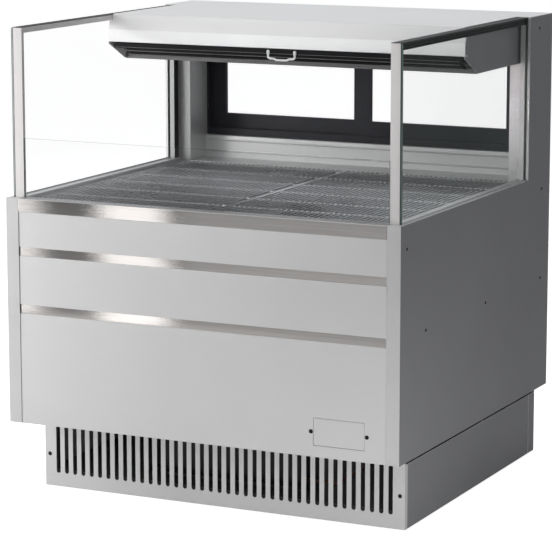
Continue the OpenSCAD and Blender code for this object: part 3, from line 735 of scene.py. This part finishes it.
def screw_set():
    """Screws: side heads in pressed eyelets, cover screws and grille screws."""
    side_x = box("side_panel_right")[1].x
    heads, eyes = [], []
    for y, z in SIDE_SCREWS:
        for s in (-1, 1):
            heads.append((at(s * (side_x + 0.1), y, z), Vector((s, 0, 0)), SIDE_HEAD_R))
            eyes.append((at(s * (side_x + 0.45), y, z), Vector((s, 0, 0))))
    ax, az = (box("access_cover")[0] + box("access_cover")[1]).xz / 2
    for s in (-1, 1):
        heads.append((at(ax + s * COVER_SCREW_X, 1.0, az), Vector((0, -1, 0)), FACE_HEAD_R))
        heads.append((at(s * GRILLE_SCREW[0], *GRILLE_SCREW[1:]), Vector((0, -1, 0)), FACE_HEAD_R))

    def build_heads(bm):
        for centre, axis, r in heads:
            rings(bm, centre, axis, [(1.9, -7), (1.9, -0.2), (r, -0.1), (r, 0.35), (r * 0.86, 0.75),
                                     (r * 0.62, 1.0), (r * 0.44, 1.05), (r * 0.42, 1.0), (r * 0.42, 0.1)],
                  24, 7)

    def build_eyes(bm):
        for centre, axis in eyes:
            rings(bm, centre, axis, [(4.2, -1.0), (4.5, -0.1), (4.8, 0.0), (5.2, -0.05), (5.5, -0.25),
                                     (5.3, -0.4), (4.4, -1.2)], 28)

    o = piece("screw_heads", joined("screw_heads", build_heads), "screw", "cabinet",
              ["panel_screws"])
    o.data.set_sharp_from_angle(angle=math.radians(50))
    piece("screw_eyelets", joined("screw_eyelets", build_eyes), "eyelet", "cabinet")


screw_set()


def feet(bm):
    """Levelling feet: pad, neck and threaded stud."""
    lo, hi = box("levelling_feet")
    for sx in (-1, 1):
        for y in (lo.y + 11, hi.y - 11):
            c = at(sx * (hi.x - 11), y, 0)
            rings(bm, c, Vector((0, 0, 1)),
                  [(10.2, 0), (11, 0.8), (11, 3.6), (9.4, 5.2), (6.2, 6.0), (4.9, 6.4)]
                  + [(4.9 - 0.5 * (k % 2), 6.9 + 0.7 * k) for k in range(30)] + [(4.2, 28)], 24)


piece("foot_set", joined("foot_set", feet), "zinc", "cabinet", ["levelling_feet"])


# ---------------------------------------------------------------- studio
bm = bmesh.new()
bmesh.ops.create_grid(bm, x_segments=2, y_segments=2, size=30.0)
mesh = bpy.data.meshes.new("floor")
bm.to_mesh(mesh)
bm.free()
floor = bpy.data.objects.new("floor", mesh)
floor.location.z = -0.0004
bpy.context.scene.collection.objects.link(floor)
paint = Shader("floor_paint", (0.65, 0.65, 0.65), 0.8, 0.0, 0.1)
paint.colour_out(paint.tone(paint.noise(1.2), 0.01))
paint.set("Emission Color", (1, 1, 1, 1))
ray = paint.add("ShaderNodeLightPath")
glow = paint.add("ShaderNodeMath", operation="ADD")
paint.link(paint.spread(ray.outputs["Is Camera Ray"], 0.0, 0.90, 0, 1), glow.inputs[0])
paint.link(paint.spread(ray.outputs["Is Glossy Ray"], 0.0, 0.035, 0, 1), glow.inputs[1])
paint.link(glow.outputs[0], paint.b.inputs["Emission Strength"])
mesh.materials.append(paint.m)


def area(name, place, target, width, height, watts, glossy=True, spread=180):
    lamp = bpy.data.lights.new(name, "AREA")
    lamp.shape = "RECTANGLE"
    lamp.size, lamp.size_y = width, height
    lamp.energy = watts
    lamp.spread = math.radians(spread)
    o = bpy.data.objects.new(name, lamp)
    o.location = place
    o.rotation_euler = (Vector(target) - Vector(place)).to_track_quat("-Z", "Y").to_euler()
    o.visible_camera = False
    o.visible_glossy = glossy
    bpy.context.scene.collection.objects.link(o)


# Strip, edge and card stand where the brushed trims mirror them. Fill, inside and tower are narrow
# lights for the base's side, the front under the canopy and the right tower.
area("key", (-1.88, -1.05, 0.85), (0, -0.43, 0.5), 1.2, 1.4, 34)
area("strip", (-1.068, -2.08, 0.75), (-0.15, -0.43, 0.75), 0.19, 1.5, 0.90)
area("edge", (-1.52, -2.08, 0.75), (-0.45, -0.43, 0.75), 0.24, 1.5, 0.9)
area("top", (-0.3, -0.2, 3.6), (0, 0, 0.6), 2.0, 2.0, 38, glossy=False)
area("left", (-3.6, 0.3, 1.5), (0.44, 0.3, 0.8), 1.2, 1.0, 10, glossy=False)
area("fill", (1.5, -1.5, 0.20), (0.46, -0.3, 0.05), 0.6, 0.3, 1.3, glossy=False, spread=60)
area("inside", (0.9, -2.2, 1.1), (0.06, -0.1, 0.92), 0.5, 0.3, 0.24, glossy=False, spread=20)
area("tower", (-0.2, -2.0, 0.74), (0.43, 0.31, 0.81), 0.12, 0.12, 0.04, glossy=False, spread=6)
area("card", (-0.40, -2.08, 0.70), (0.3, -0.43, 0.70), 0.9, 1.1, 0.5)
area("back", (-0.8, 4.6, 2.4), (0, 0.2, 0.6), 2.6, 2.0, 22, glossy=False)

# The world is white to the camera, dim as a light and brighter in reflections
world = bpy.data.worlds.new("studio")
bpy.context.scene.world = world
world.use_nodes = True
nt = world.node_tree
nt.nodes.clear()
out = nt.nodes.new("ShaderNodeOutputWorld")
path = nt.nodes.new("ShaderNodeLightPath")
level = nt.nodes.new("ShaderNodeMapRange")
level.inputs["To Min"].default_value = 0.11
level.inputs["To Max"].default_value = 0.90
room = nt.nodes.new("ShaderNodeBackground")
room.inputs["Color"].default_value = (0.95, 0.97, 1.0, 1)
seen = nt.nodes.new("ShaderNodeBackground")
seen.inputs["Color"].default_value = (1, 1, 1, 1)
seen.inputs["Strength"].default_value = 1.0
mix = nt.nodes.new("ShaderNodeMixShader")
nt.links.new(path.outputs["Is Glossy Ray"], level.inputs["Value"])
nt.links.new(level.outputs["Result"], room.inputs["Strength"])
nt.links.new(path.outputs["Is Camera Ray"], mix.inputs[0])
nt.links.new(room.outputs[0], mix.inputs[1])
nt.links.new(seen.outputs[0], mix.inputs[2])
nt.links.new(mix.outputs[0], out.inputs["Surface"])
bpy.context.scene.view_settings.view_transform = "Standard"

cam = bpy.data.cameras.new("camera")
cam.sensor_width = 36
cam.lens = 169.41
cam.clip_end = 100
camera = bpy.data.objects.new("camera", cam)
camera.location = (2.4733, -5.1566, 1.4782)
yaw, pitch, roll_angle = math.radians(25.862), math.radians(-10.004), math.radians(-0.041)
forward = Vector((-math.sin(yaw) * math.cos(pitch), math.cos(yaw) * math.cos(pitch), math.sin(pitch)))
camera.rotation_mode = "QUATERNION"
upright = forward.to_track_quat("-Z", "Y")
camera.rotation_quaternion = upright @ Matrix.Rotation(roll_angle, 3, "Z").to_quaternion()
bpy.context.scene.collection.objects.link(camera)
bpy.context.scene.camera = camera
